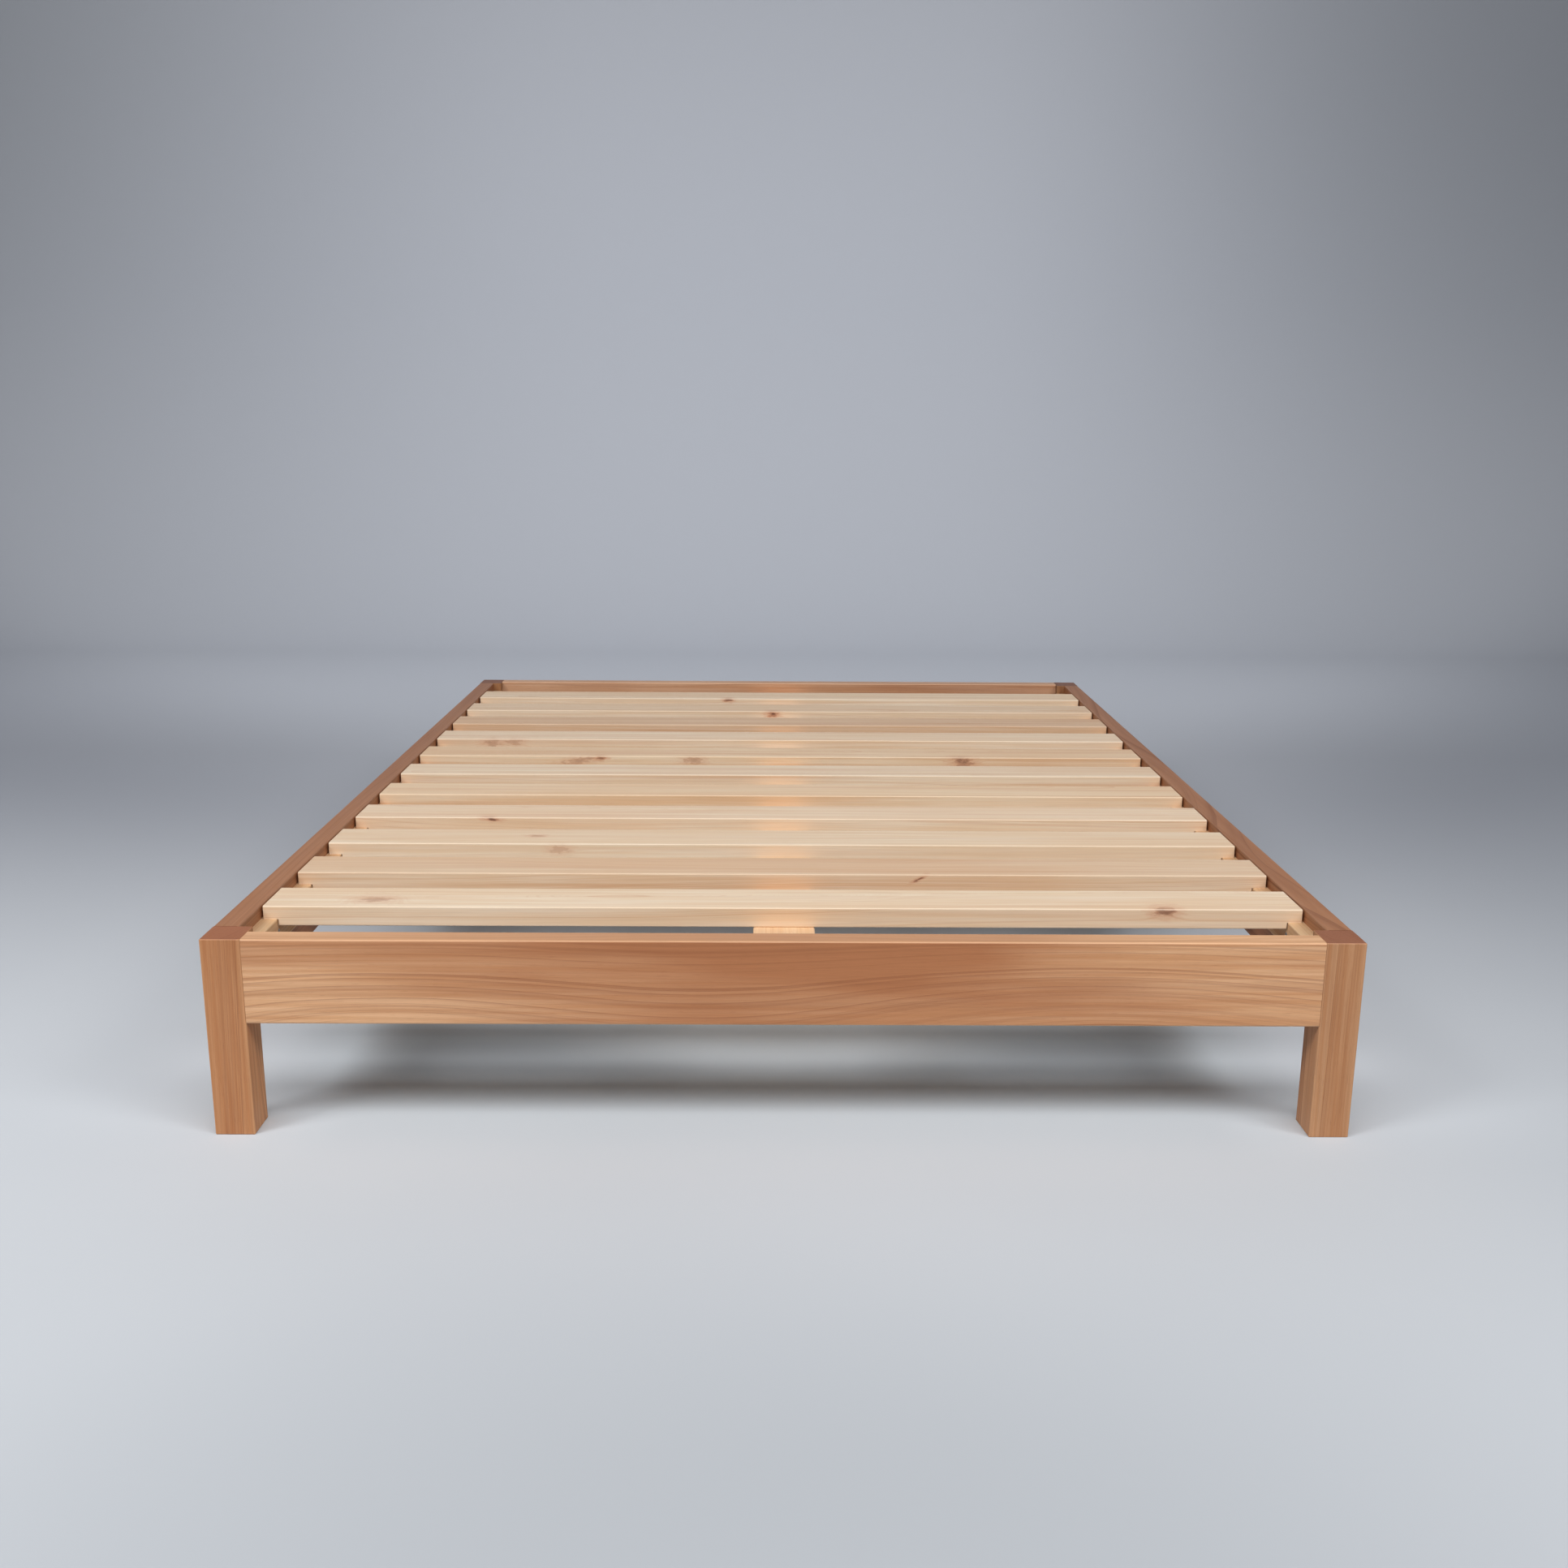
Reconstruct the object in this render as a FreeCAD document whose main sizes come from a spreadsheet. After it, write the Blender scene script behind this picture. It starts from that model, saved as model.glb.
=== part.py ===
import FreeCAD, Part
import math
import operator
import os
from types import SimpleNamespace

import Sketcher
from FreeCAD import Placement, Rotation, Vector

# Slatted platform bed for a queen mattress, in millimetres.
# X runs across the bed, Y from the foot end to the head end, Z up; the origin is the middle of the floor area.

# Driving dimensions: alias, value, meaning
SIZES = [
    ("bed_width", 1600, "outside of one side rail to outside of the other"),
    ("bed_length", 2100, "outside of the foot rail to outside of the head rail"),
    ("bed_height", 290, "floor to the top of legs, rails and slats"),
    ("leg_size", 56, "side of the square legs"),
    ("leg_round", 2, "rounding of the legs' long edges, twice the chamfer on their ends"),
    ("rail_height", 123, "height of all four rails"),
    ("rail_thick", 36, "thickness of all four rails"),
    ("rail_round", 3, "rounding of the rails' long edges"),
    ("tenon_length", 34, "reach of an end rail's tenon into its leg"),
    ("tenon_thick", 14, "thickness of the tenon"),
    ("tenon_shoulder", 16, "shoulder above and below the tenon"),
    ("glue_gap", 0.2, "room on each side of a tenon or plate in its recess"),
    ("mortise_room", 1, "room left past the end of a tenon, stud or hook"),
    ("slat_count", 11, "number of slats"),
    ("slat_width", 90, "width of a slat"),
    ("slat_thick", 30, "thickness of a slat"),
    ("slat_round", 2, "rounding of a slat's long edges"),
    ("slat_end_gap", 4, "room between a slat's end and the side rail"),
    ("slat_foot_gap", 110, "foot rail to the first slat"),
    ("slat_head_gap", 140, "last slat to the head rail"),
    ("rebate_depth", 10, "how far a slat's end drops over the ledger"),
    ("rebate_gap", 1.5, "room between the rebate's shoulder and the ledger"),
    ("ledger_width", 24, "ledger, across the bed"),
    ("ledger_height", 40, "ledger, upright"),
    ("ledger_end_gap", 4, "room between a ledger's end and the leg"),
    ("ledger_round", 2, "rounding of the ledger's inner edges"),
    ("ledger_screw_count", 6, "screws in each ledger"),
    ("ledger_screw_inset", 90, "ledger's end to its first screw"),
    ("beam_width", 90, "centre beam, across the bed"),
    ("beam_depth", 45, "centre beam, upright"),
    ("beam_round", 3, "rounding of the beam's long edges"),
    ("beam_end_gap", 1, "room between the beam's end and the end rail"),
    ("saddle_depth", 28, "saddle's thickness, along the bed"),
    ("saddle_ear", 32, "width of the saddle's two ears"),
    ("saddle_base", 32, "height of the saddle under the beam"),
    ("saddle_drop", 3, "ears' tops below the beam's top"),
    ("saddle_side_gap", 0.5, "room between an ear and the beam"),
    ("saddle_round", 8, "rounding of the saddle's outer corners"),
    ("prop_size", 45, "side of the square centre leg"),
    ("stud_diameter", 8, "stud that fixes the centre leg to the beam"),
    ("stud_reach", 28, "reach of the stud into the beam and into the leg"),
    ("plate_width", 20, "width of the hook and slotted plates"),
    ("plate_height", 100, "height of the hook and slotted plates"),
    ("plate_thick", 2.5, "thickness of the hook and slotted plates"),
    ("hook_thick", 2.5, "thickness of a hook"),
    ("hook_neck", 12, "height of the hook's neck in its slot"),
    ("hook_drop", 8, "reach of the hook's tongue below its neck"),
    ("hook_tongue", 4, "depth of the hook's tongue"),
    ("hook_gap", 0.3, "room round a hook in its slot"),
    ("hook_spacing", 44, "distance between a plate's two hooks"),
    ("screw_diameter", 4, "shank of the screws"),
    ("screw_land", 0.3, "steel left in a plate under a countersunk head"),
    ("screw_sink", 0.2, "heads' depth below the surface"),
    ("screw_gap", 0.1, "room round a screw in its hole"),
    ("screw_point", 5, "length of the screws' points"),
    ("screw_tip", 0.8, "diameter left at the very point"),
    ("plate_screw_length", 25, "screws of the plates"),
    ("plate_screw_spacing", 86, "distance between a plate's two screws"),
    ("wood_screw_length", 45, "screws of the ledgers and saddles"),
]

SMALL = 1e-6
ROUND_SIDES = 8  # screws, the stud and their holes are drawn with eight flats
FLAT_ANGLE = math.tau / ROUND_SIDES
ALONG_X = Vector(1, 0, 0)
ALONG_Y = Vector(0, 1, 0)
ALONG_Z = Vector(0, 0, 1)
ENDS = {"foot": -1, "head": 1}
SIDES = {"left": -1, "right": 1}

doc = FreeCAD.newDocument("platform_bed")
sheet = doc.addObject("Spreadsheet::Sheet", "Sizes")
for row, (alias, value, meaning) in enumerate(SIZES, start=1):
    sheet.set(f"A{row}", alias)
    sheet.set(f"B{row}", str(value))
    sheet.set(f"C{row}", meaning)
    sheet.setAlias(f"B{row}", alias)
doc.recompute()


class Size:
    """A size held as sheet text, which drives the model, and as a number, which places points."""

    def __init__(self, text, value):
        self.text = text
        self.value = value

    def __add__(self, other):
        return combine(self, "+", other)

    def __sub__(self, other):
        return combine(self, "-", other)

    def __mul__(self, other):
        return combine(self, "*", other)

    def __truediv__(self, other):
        return combine(self, "/", other)

    def __neg__(self):
        return self * -1


OPERATORS = {"+": operator.add, "-": operator.sub, "*": operator.mul, "/": operator.truediv}


def as_size(number):
    """A plain number as a Size; a Size as it is."""
    if isinstance(number, Size):
        return number
    return Size(f"({float(number)})", float(number))


def combine(left, sign, right):
    """Two sizes joined by one arithmetic sign."""
    right = as_size(right)
    value = OPERATORS[sign](left.value, right.value)
    return Size(f"({left.text} {sign} {right.text})", value)


size = SimpleNamespace(
    **{alias: Size(f"Sizes.{alias}", float(sheet.get(alias))) for alias, value, meaning in SIZES}
)
slat_count = int(size.slat_count.value)
ledger_screw_count = int(size.ledger_screw_count.value)

# Places that several pieces share
half_width = size.bed_width / 2
half_length = size.bed_length / 2
half_leg = size.leg_size / 2
rail_bottom = size.bed_height - size.rail_height
rail_middle = size.bed_height - size.rail_height / 2
rail_centre = size.rail_thick / 2
end_rail_length = size.bed_width - size.leg_size * 2
side_rail_length = size.bed_length - size.leg_size * 2
inner_half_width = half_width - size.rail_thick
inner_half_length = half_length - size.rail_thick
slat_underside = size.bed_height - size.slat_thick
ledger_top = slat_underside + size.rebate_depth
ledger_middle = ledger_top - size.ledger_height / 2
ledger_length = side_rail_length - size.ledger_end_gap * 2
ledger_screw_span = ledger_length - size.ledger_screw_inset * 2
beam_underside = slat_underside - size.beam_depth
saddle_inner = size.beam_width / 2 + size.saddle_side_gap
saddle_outer = saddle_inner + size.saddle_ear
saddle_bottom = beam_underside - size.saddle_base
saddle_top = slat_underside - size.saddle_drop
saddle_screws = [
    (saddle_inner + size.saddle_ear / 2, (beam_underside + saddle_top) / 2),
    (size.beam_width / 4, beam_underside - size.saddle_base / 2),
]
hook_low = rail_middle - (size.hook_spacing + size.hook_neck) / 2
hook_back = size.plate_thick + size.hook_gap
hook_reach = hook_back + size.hook_tongue
plate_screw_low = rail_middle - size.plate_screw_spacing / 2
screw_cone = size.plate_thick - size.screw_land
screw_head_height = screw_cone - size.screw_sink
screw_bore = size.screw_diameter / 2 + size.screw_gap
screw_bore_flat = screw_bore * (2 * math.tan(FLAT_ANGLE / 2))


def new_body(label):
    body = doc.addObject("PartDesign::Body", label)
    body.Label = label
    return body


def origin_feature(body, role):
    return next(item for item in body.Origin.OriginFeatures if item.Role == role)


def sketch_on(body, plane, x=0, y=0, out=0):
    """A sketch on one of the body's own planes, moved by x and y in that plane and by out along its normal."""
    sketch = body.newObject("Sketcher::SketchObject", f"{body.Name}_sketch")
    sketch.AttachmentSupport = [(origin_feature(body, plane), "")]
    sketch.MapMode = "FlatFace"
    for direction, shift in (("x", x), ("y", y), ("z", out)):
        sketch.setExpression(f"AttachmentOffset.Base.{direction}", as_size(shift).text)
    return sketch


def hold_point(sketch, geometry, position, x, y):
    """Ties a point of the sketch to its distances from the sketch's origin."""
    for kind, distance in (("DistanceX", x), ("DistanceY", y)):
        index = sketch.addConstraint(Sketcher.Constraint(kind, -1, 1, geometry, position, distance.value))
        sketch.setExpression(f"Constraints[{index}]", distance.text)


def draw_outline(sketch, points):
    """A closed outline of straight lines through points."""
    corners = [(as_size(x), as_size(y)) for x, y in points]
    vectors = [Vector(x.value, y.value, 0) for x, y in corners]
    count = len(corners)
    lines = [sketch.addGeometry(Part.LineSegment(vectors[i], vectors[(i + 1) % count])) for i in range(count)]
    for i in range(count):
        sketch.addConstraint(Sketcher.Constraint("Coincident", lines[i], 2, lines[(i + 1) % count], 1))
    for line, (x, y) in zip(lines, corners):
        hold_point(sketch, line, 1, x, y)
    return sketch


def draw_round(sketch, radius):
    """A small round section about the sketch's origin, drawn with flats at that radius."""
    corner = radius / math.cos(FLAT_ANGLE / 2)
    angles = [FLAT_ANGLE * (i + 0.5) for i in range(ROUND_SIDES)]
    return draw_outline(sketch, [(corner * math.cos(angle), corner * math.sin(angle)) for angle in angles])


def rectangle(low_x, high_x, low_y, high_y):
    return [(low_x, low_y), (high_x, low_y), (high_x, high_y), (low_x, high_y)]


def pad(body, sketch, length, symmetric=False, reverse=False):
    feature = body.newObject("PartDesign::Pad", f"{body.Name}_pad")
    feature.Profile = sketch
    feature.SideType = "Symmetric" if symmetric else "One side"
    feature.Reversed = reverse
    feature.setExpression("Length", length.text)
    doc.recompute()
    return feature


def require_cut(body, before):
    """A cut that misses the solid shows no error, so the volume has to fall."""
    doc.recompute()
    if body.Tip.Shape.Volume > before - SMALL:
        raise RuntimeError(f"{body.Label}: {body.Tip.Name} removes nothing")


def pocket(body, sketch, depth, reverse=False):
    before = body.Tip.Shape.Volume
    feature = body.newObject("PartDesign::Pocket", f"{body.Name}_pocket")
    feature.Profile = sketch
    feature.Reversed = reverse
    feature.setExpression("Length", depth.text)
    require_cut(body, before)
    return feature


def pattern(body, feature, axis, length, count):
    """Copies of a feature in a row, the first to the last being length apart."""
    row_of = body.newObject("PartDesign::LinearPattern", f"{body.Name}_row")
    row_of.Originals = [feature]
    row_of.Direction = (origin_feature(body, axis), [""])
    row_of.setExpression("Length", length.text)
    row_of.Occurrences = count
    body.Tip = row_of
    doc.recompute()


def mirror(body, features, plane):
    mirrored = body.newObject("PartDesign::Mirrored", f"{body.Name}_mirror")
    mirrored.Originals = features
    mirrored.MirrorPlane = (origin_feature(body, plane), [""])
    body.Tip = mirrored
    doc.recompute()


def ease(body, kind, amount, chosen):
    """Rounds (Fillet) or chamfers (Chamfer) the edges that chosen accepts."""
    base = body.Tip
    names = [f"Edge{i}" for i, edge in enumerate(base.Shape.Edges, start=1) if chosen(edge)]
    feature = body.newObject(f"PartDesign::{kind}", f"{body.Name}_{kind.lower()}")
    feature.Base = (base, names)
    feature.setExpression("Radius" if kind == "Fillet" else "Size", amount.text)
    doc.recompute()


def runs_along(edge, axis):
    straight = edge.Curve.TypeId == "Part::GeomLine"
    return straight and abs(edge.tangentAt(edge.FirstParameter).dot(axis)) > 1 - SMALL


def lies_at_height(edge, height):
    box = edge.BoundBox
    return max(abs(box.ZMin - height.value), abs(box.ZMax - height.value)) < SMALL


def place(body, x, y, turned=False):
    """Puts a body at x, y, turned half round about the vertical if asked."""
    body.Placement = Placement(Vector(0, 0, 0), Rotation(ALONG_Z, 180 if turned else 0))
    body.setExpression("Placement.Base.x", as_size(x).text)
    body.setExpression("Placement.Base.y", as_size(y).text)


def drill(body, axis, face, points_to, length, height, across=0):
    """A screw's bore along axis, X or Y, from the station of its head's face, towards points_to (1 or -1)."""
    plane, outward = {"X": ("YZ_Plane", 1), "Y": ("XZ_Plane", -1)}[axis]
    section = sketch_on(body, plane, across, height, face * outward)
    draw_round(section, screw_bore)
    depth = size.screw_sink + length + size.mortise_room
    return pocket(body, section, depth, reverse=points_to == outward)


def countersink(body, axis, face):
    """Opens every bore's rim on the surface at face to the cone of a screw's head."""
    def on_rim(edge):
        offset = edge.CenterOfMass.dot(axis) - face.value
        return abs(offset) < SMALL and abs(edge.Length - screw_bore_flat.value) < SMALL

    ease(body, "Chamfer", screw_cone, on_rim)


def make_leg(label, end, side):
    """Square leg, its mortise facing the end rail and its slotted plate's recess facing the side rail.

    The foot end's legs are drawn in place; the head end's are the opposite hand turned half round.
    """
    body = new_body(label)
    hand = -side * -end
    square = sketch_on(body, "XY_Plane")
    draw_outline(square, rectangle(-half_leg, half_leg, -half_leg, half_leg))
    pad(body, square, size.bed_height)
    ease(body, "Fillet", size.leg_round, lambda edge: runs_along(edge, ALONG_Z))
    ease(body, "Chamfer", size.leg_round / 2, lambda edge: not runs_along(edge, ALONG_Z))

    mortise = sketch_on(body, "YZ_Plane", out=half_leg * hand)
    tenon_middle = rail_centre - half_leg
    half_mortise = size.tenon_thick / 2 + size.glue_gap
    draw_outline(mortise, rectangle(
        tenon_middle - half_mortise, tenon_middle + half_mortise,
        rail_bottom + size.tenon_shoulder - size.glue_gap,
        size.bed_height - size.tenon_shoulder + size.glue_gap,
    ))
    pocket(body, mortise, size.tenon_length + size.mortise_room, reverse=hand < 0)

    fitting_x = (rail_centre - half_leg) * hand
    half_plate = size.plate_width / 2 + size.glue_gap
    recess = sketch_on(body, "XZ_Plane", x=fitting_x, y=rail_middle, out=-half_leg)
    half_recess = size.plate_height / 2 + size.glue_gap
    draw_outline(recess, rectangle(-half_plate, half_plate, -half_recess, half_recess))
    pocket(body, recess, size.plate_thick, reverse=True)

    hook_room = sketch_on(body, "XZ_Plane", x=fitting_x, out=-half_leg)
    half_room = size.hook_thick / 2 + size.mortise_room
    hook_high = hook_low + size.hook_spacing + size.hook_neck + size.hook_drop
    draw_outline(hook_room, rectangle(
        -half_room, half_room,
        hook_low - size.hook_drop - size.mortise_room, hook_high + size.mortise_room,
    ))
    pocket(body, hook_room, hook_reach + size.mortise_room, reverse=True)

    hole = drill(body, "Y", half_leg, -1, size.plate_screw_length, plate_screw_low, fitting_x)
    pattern(body, hole, "Z_Axis", size.plate_screw_spacing, 2)
    place(body, (half_width - half_leg) * side, (half_length - half_leg) * end, turned=end > 0)
    return body


def make_end_rail(label, end):
    """Foot or head rail: a board with eased edges, a tenon at each end and holes for its saddle's screws."""
    body = new_body(label)
    board = sketch_on(body, "YZ_Plane")
    draw_outline(board, rectangle(0, size.rail_thick, rail_bottom, size.bed_height))
    pad(body, board, end_rail_length, symmetric=True)
    ease(body, "Fillet", size.rail_round, lambda edge: runs_along(edge, ALONG_X))

    tenon = sketch_on(body, "YZ_Plane")
    half_tenon = size.tenon_thick / 2
    draw_outline(tenon, rectangle(
        rail_centre - half_tenon, rail_centre + half_tenon,
        rail_bottom + size.tenon_shoulder, size.bed_height - size.tenon_shoulder,
    ))
    pad(body, tenon, end_rail_length + size.tenon_length * 2, symmetric=True)

    saddle_face = size.rail_thick + size.saddle_depth
    holes = [drill(body, "Y", saddle_face, -1, size.wood_screw_length, z, x) for x, z in saddle_screws]
    mirror(body, holes, "YZ_Plane")
    place(body, 0, half_length * end, turned=end > 0)
    return body


def make_side_rail(label, side):
    """Side rail: a board with eased edges, a hook plate's recess in each end and holes for the ledger's screws."""
    body = new_body(label)
    board = sketch_on(body, "XZ_Plane")
    draw_outline(board, rectangle(0, size.rail_thick, rail_bottom, size.bed_height))
    pad(body, board, side_rail_length, symmetric=True)
    ease(body, "Fillet", size.rail_round, lambda edge: runs_along(edge, ALONG_Y))

    rail_end = side_rail_length / 2
    half_plate = size.plate_width / 2 + size.glue_gap
    half_recess = size.plate_height / 2 + size.glue_gap
    recess = sketch_on(body, "XZ_Plane", x=rail_centre, y=rail_middle, out=rail_end)
    draw_outline(recess, rectangle(-half_plate, half_plate, -half_recess, half_recess))
    recesses = pocket(body, recess, size.plate_thick)
    mirror(body, [recesses], "XZ_Plane")
    for height in (plate_screw_low, plate_screw_low + size.plate_screw_spacing):
        for end in ENDS.values():
            drill(body, "Y", rail_end * end, -end, size.plate_screw_length, height, rail_centre)

    ledger_face = size.rail_thick + size.ledger_width
    hole = drill(body, "X", ledger_face, -1, size.wood_screw_length, ledger_middle, -ledger_screw_span / 2)
    pattern(body, hole, "Y_Axis", ledger_screw_span, ledger_screw_count)
    place(body, half_width * side, 0, turned=side > 0)
    return body


def make_ledger(label, side):
    """Strip along a side rail's inner face that the slats' rebated ends sit on."""
    body = new_body(label)
    strip = sketch_on(body, "XZ_Plane")
    draw_outline(strip, rectangle(0, size.ledger_width, ledger_top - size.ledger_height, ledger_top))
    pad(body, strip, ledger_length, symmetric=True)
    ease(body, "Fillet", size.ledger_round,
         lambda edge: runs_along(edge, ALONG_Y) and edge.BoundBox.XMin > size.ledger_width.value / 2)
    hole = drill(
        body, "X", size.ledger_width, -1, size.wood_screw_length, ledger_middle, -ledger_screw_span / 2)
    pattern(body, hole, "Y_Axis", ledger_screw_span, ledger_screw_count)
    countersink(body, ALONG_X, size.ledger_width)
    place(body, inner_half_width * side, 0, turned=side > 0)
    return body


def make_centre_beam(label):
    """Flat beam under the middle of the slats, bored from below for the centre leg's stud."""
    body = new_body(label)
    section = sketch_on(body, "XZ_Plane")
    half_beam = size.beam_width / 2
    draw_outline(section, rectangle(-half_beam, half_beam, beam_underside, slat_underside))
    pad(body, section, (inner_half_length - size.beam_end_gap) * 2, symmetric=True)
    ease(body, "Fillet", size.beam_round, lambda edge: runs_along(edge, ALONG_Y))
    bore = sketch_on(body, "XY_Plane", out=beam_underside)
    draw_round(bore, size.stud_diameter / 2 + size.screw_gap)
    pocket(body, bore, size.stud_reach + size.mortise_room, reverse=True)
    return body


def make_saddle(label, end):
    """U-shaped block on an end rail that the beam's end drops into."""
    body = new_body(label)
    front = sketch_on(body, "XZ_Plane")
    draw_outline(front, [
        (-saddle_outer, saddle_bottom), (saddle_outer, saddle_bottom),
        (saddle_outer, saddle_top), (saddle_inner, saddle_top),
        (saddle_inner, beam_underside), (-saddle_inner, beam_underside),
        (-saddle_inner, saddle_top), (-saddle_outer, saddle_top),
    ])
    pad(body, front, size.saddle_depth, reverse=True)
    at_corner = saddle_outer.value - SMALL
    ease(body, "Fillet", size.saddle_round,
         lambda edge: runs_along(edge, ALONG_Y) and abs(edge.CenterOfMass.x) > at_corner)
    holes = [drill(body, "Y", size.saddle_depth, -1, size.wood_screw_length, z, x) for x, z in saddle_screws]
    mirror(body, holes, "YZ_Plane")
    countersink(body, ALONG_Y, size.saddle_depth)
    place(body, 0, inner_half_length * end, turned=end > 0)
    return body


def make_centre_leg(label):
    """Square prop under the middle of the beam, bored from above for its stud."""
    body = new_body(label)
    half_prop = size.prop_size / 2
    square = sketch_on(body, "XY_Plane")
    draw_outline(square, rectangle(-half_prop, half_prop, -half_prop, half_prop))
    pad(body, square, beam_underside)
    ease(body, "Fillet", size.leg_round, lambda edge: runs_along(edge, ALONG_Z))
    ease(body, "Chamfer", size.leg_round / 2, lambda edge: lies_at_height(edge, as_size(0)))
    bore = sketch_on(body, "XY_Plane", out=beam_underside)
    draw_round(bore, size.stud_diameter / 2 + size.screw_gap)
    pocket(body, bore, size.stud_reach + size.mortise_room)
    return body


def make_stud(label):
    """Stud that joins the centre leg to the beam."""
    body = new_body(label)
    section = sketch_on(body, "XY_Plane", out=beam_underside - size.stud_reach)
    draw_round(section, size.stud_diameter / 2)
    pad(body, section, size.stud_reach * 2)
    return body


def make_slat(label, place_in_row):
    """Loose slat, rebated under both ends so that it drops over the ledgers."""
    body = new_body(label)
    half_slat = inner_half_width - size.slat_end_gap
    shoulder = inner_half_width - size.ledger_width - size.rebate_gap
    profile = sketch_on(body, "XZ_Plane")
    draw_outline(profile, [
        (-half_slat, size.bed_height), (half_slat, size.bed_height),
        (half_slat, ledger_top), (shoulder, ledger_top),
        (shoulder, slat_underside), (-shoulder, slat_underside),
        (-shoulder, ledger_top), (-half_slat, ledger_top),
    ])
    pad(body, profile, size.slat_width, symmetric=True)
    ease(body, "Fillet", size.slat_round, lambda edge: runs_along(edge, ALONG_X) and (
        lies_at_height(edge, size.bed_height) or lies_at_height(edge, slat_underside)))
    row_length = inner_half_length * 2 - size.slat_foot_gap - size.slat_head_gap - size.slat_width
    pitch = row_length / (size.slat_count - 1)
    first = size.slat_foot_gap + size.slat_width / 2 - inner_half_length
    place(body, 0, first + pitch * place_in_row)
    return body


def make_slotted_plate(label, end, side):
    """Steel plate let into a leg, with two slots that the side rail's hooks drop into."""
    body = new_body(label)
    face = sketch_on(body, "XZ_Plane", y=rail_middle)
    half_plate = size.plate_width / 2
    draw_outline(face, rectangle(-half_plate, half_plate, -size.plate_height / 2, size.plate_height / 2))
    pad(body, face, size.plate_thick)
    slot = sketch_on(body, "XZ_Plane")
    half_slot = size.hook_thick / 2 + size.hook_gap
    slot_top = hook_low + size.hook_neck + size.hook_drop + size.hook_gap
    draw_outline(slot, rectangle(-half_slot, half_slot, hook_low, slot_top))
    pattern(body, pocket(body, slot, size.plate_thick, reverse=True), "Z_Axis", size.hook_spacing, 2)
    hole = drill(body, "Y", as_size(0), -1, size.plate_screw_length, plate_screw_low)
    pattern(body, hole, "Z_Axis", size.plate_screw_spacing, 2)
    countersink(body, ALONG_Y, as_size(0))
    place(body, (half_width - rail_centre) * side, (half_length - size.leg_size) * end, turned=end > 0)
    return body


def make_hook_plate(label, end, side):
    """Steel plate let into a side rail's end, with two hooks whose tongues drop behind the slotted plate."""
    body = new_body(label)
    face = sketch_on(body, "XZ_Plane", y=rail_middle)
    half_plate = size.plate_width / 2
    draw_outline(face, rectangle(-half_plate, half_plate, -size.plate_height / 2, size.plate_height / 2))
    pad(body, face, size.plate_thick, reverse=True)
    hook = sketch_on(body, "YZ_Plane")
    neck_top = hook_low + size.hook_neck
    tongue_bottom = hook_low - size.hook_drop
    draw_outline(hook, [
        (0, hook_low), (-hook_back, hook_low), (-hook_back, tongue_bottom),
        (-hook_reach, tongue_bottom), (-hook_reach, neck_top), (0, neck_top),
    ])
    pattern(body, pad(body, hook, size.hook_thick, symmetric=True), "Z_Axis", size.hook_spacing, 2)
    hole = drill(body, "Y", as_size(0), 1, size.plate_screw_length, plate_screw_low)
    pattern(body, hole, "Z_Axis", size.plate_screw_spacing, 2)
    countersink(body, ALONG_Y, as_size(0))
    place(body, (half_width - rail_centre) * side, (half_length - size.leg_size) * end, turned=end > 0)
    return body


def make_screw(label, length):
    """Countersunk screw along +X, its head's face at the origin."""
    body = new_body(label)
    shank = size.screw_diameter / 2
    sections = [
        (0, shank + screw_head_height), (screw_head_height, shank),
        (length - size.screw_point, shank), (length, size.screw_tip / 2),
    ]
    rounds = [draw_round(sketch_on(body, "YZ_Plane", out=station), radius) for station, radius in sections]
    loft = body.newObject("PartDesign::AdditiveLoft", f"{label}_loft")
    loft.Profile = rounds[0]
    loft.Sections = rounds[1:]
    loft.Ruled = True
    doc.recompute()
    return body


def make_screw_group(label, screw, seats):
    """Copies of one screw, each at the point where its axis meets the surface and pointing along direction."""
    copies = []
    for surface, direction in seats:
        head = surface + direction * size.screw_sink.value
        copy = screw.Shape.copy()
        copy.Placement = Placement(head, Rotation(ALONG_X, direction))
        copies.append(copy)
    group = doc.addObject("Part::Feature", label)
    group.Label = label
    group.Shape = Part.makeCompound(copies)
    return group


def ledger_screw_seats():
    step = ledger_screw_span.value / (ledger_screw_count - 1)
    face = inner_half_width.value - size.ledger_width.value
    return [
        (Vector(face * side, i * step - ledger_screw_span.value / 2, ledger_middle.value), ALONG_X * side)
        for side in SIDES.values() for i in range(ledger_screw_count)
    ]


def plate_screw_seats():
    x = (half_width - rail_centre).value
    y = (half_length - size.leg_size).value
    heights = (plate_screw_low.value, (plate_screw_low + size.plate_screw_spacing).value)
    return [
        (Vector(x * side, y * end, height), ALONG_Y * towards)
        for side in SIDES.values() for end in ENDS.values() for height in heights for towards in (-1, 1)
    ]


def saddle_screw_seats():
    face = (inner_half_length - size.saddle_depth).value
    return [
        (Vector(x.value * side, face * end, z.value), ALONG_Y * end)
        for end in ENDS.values() for side in SIDES.values() for x, z in saddle_screws
    ]


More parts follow.
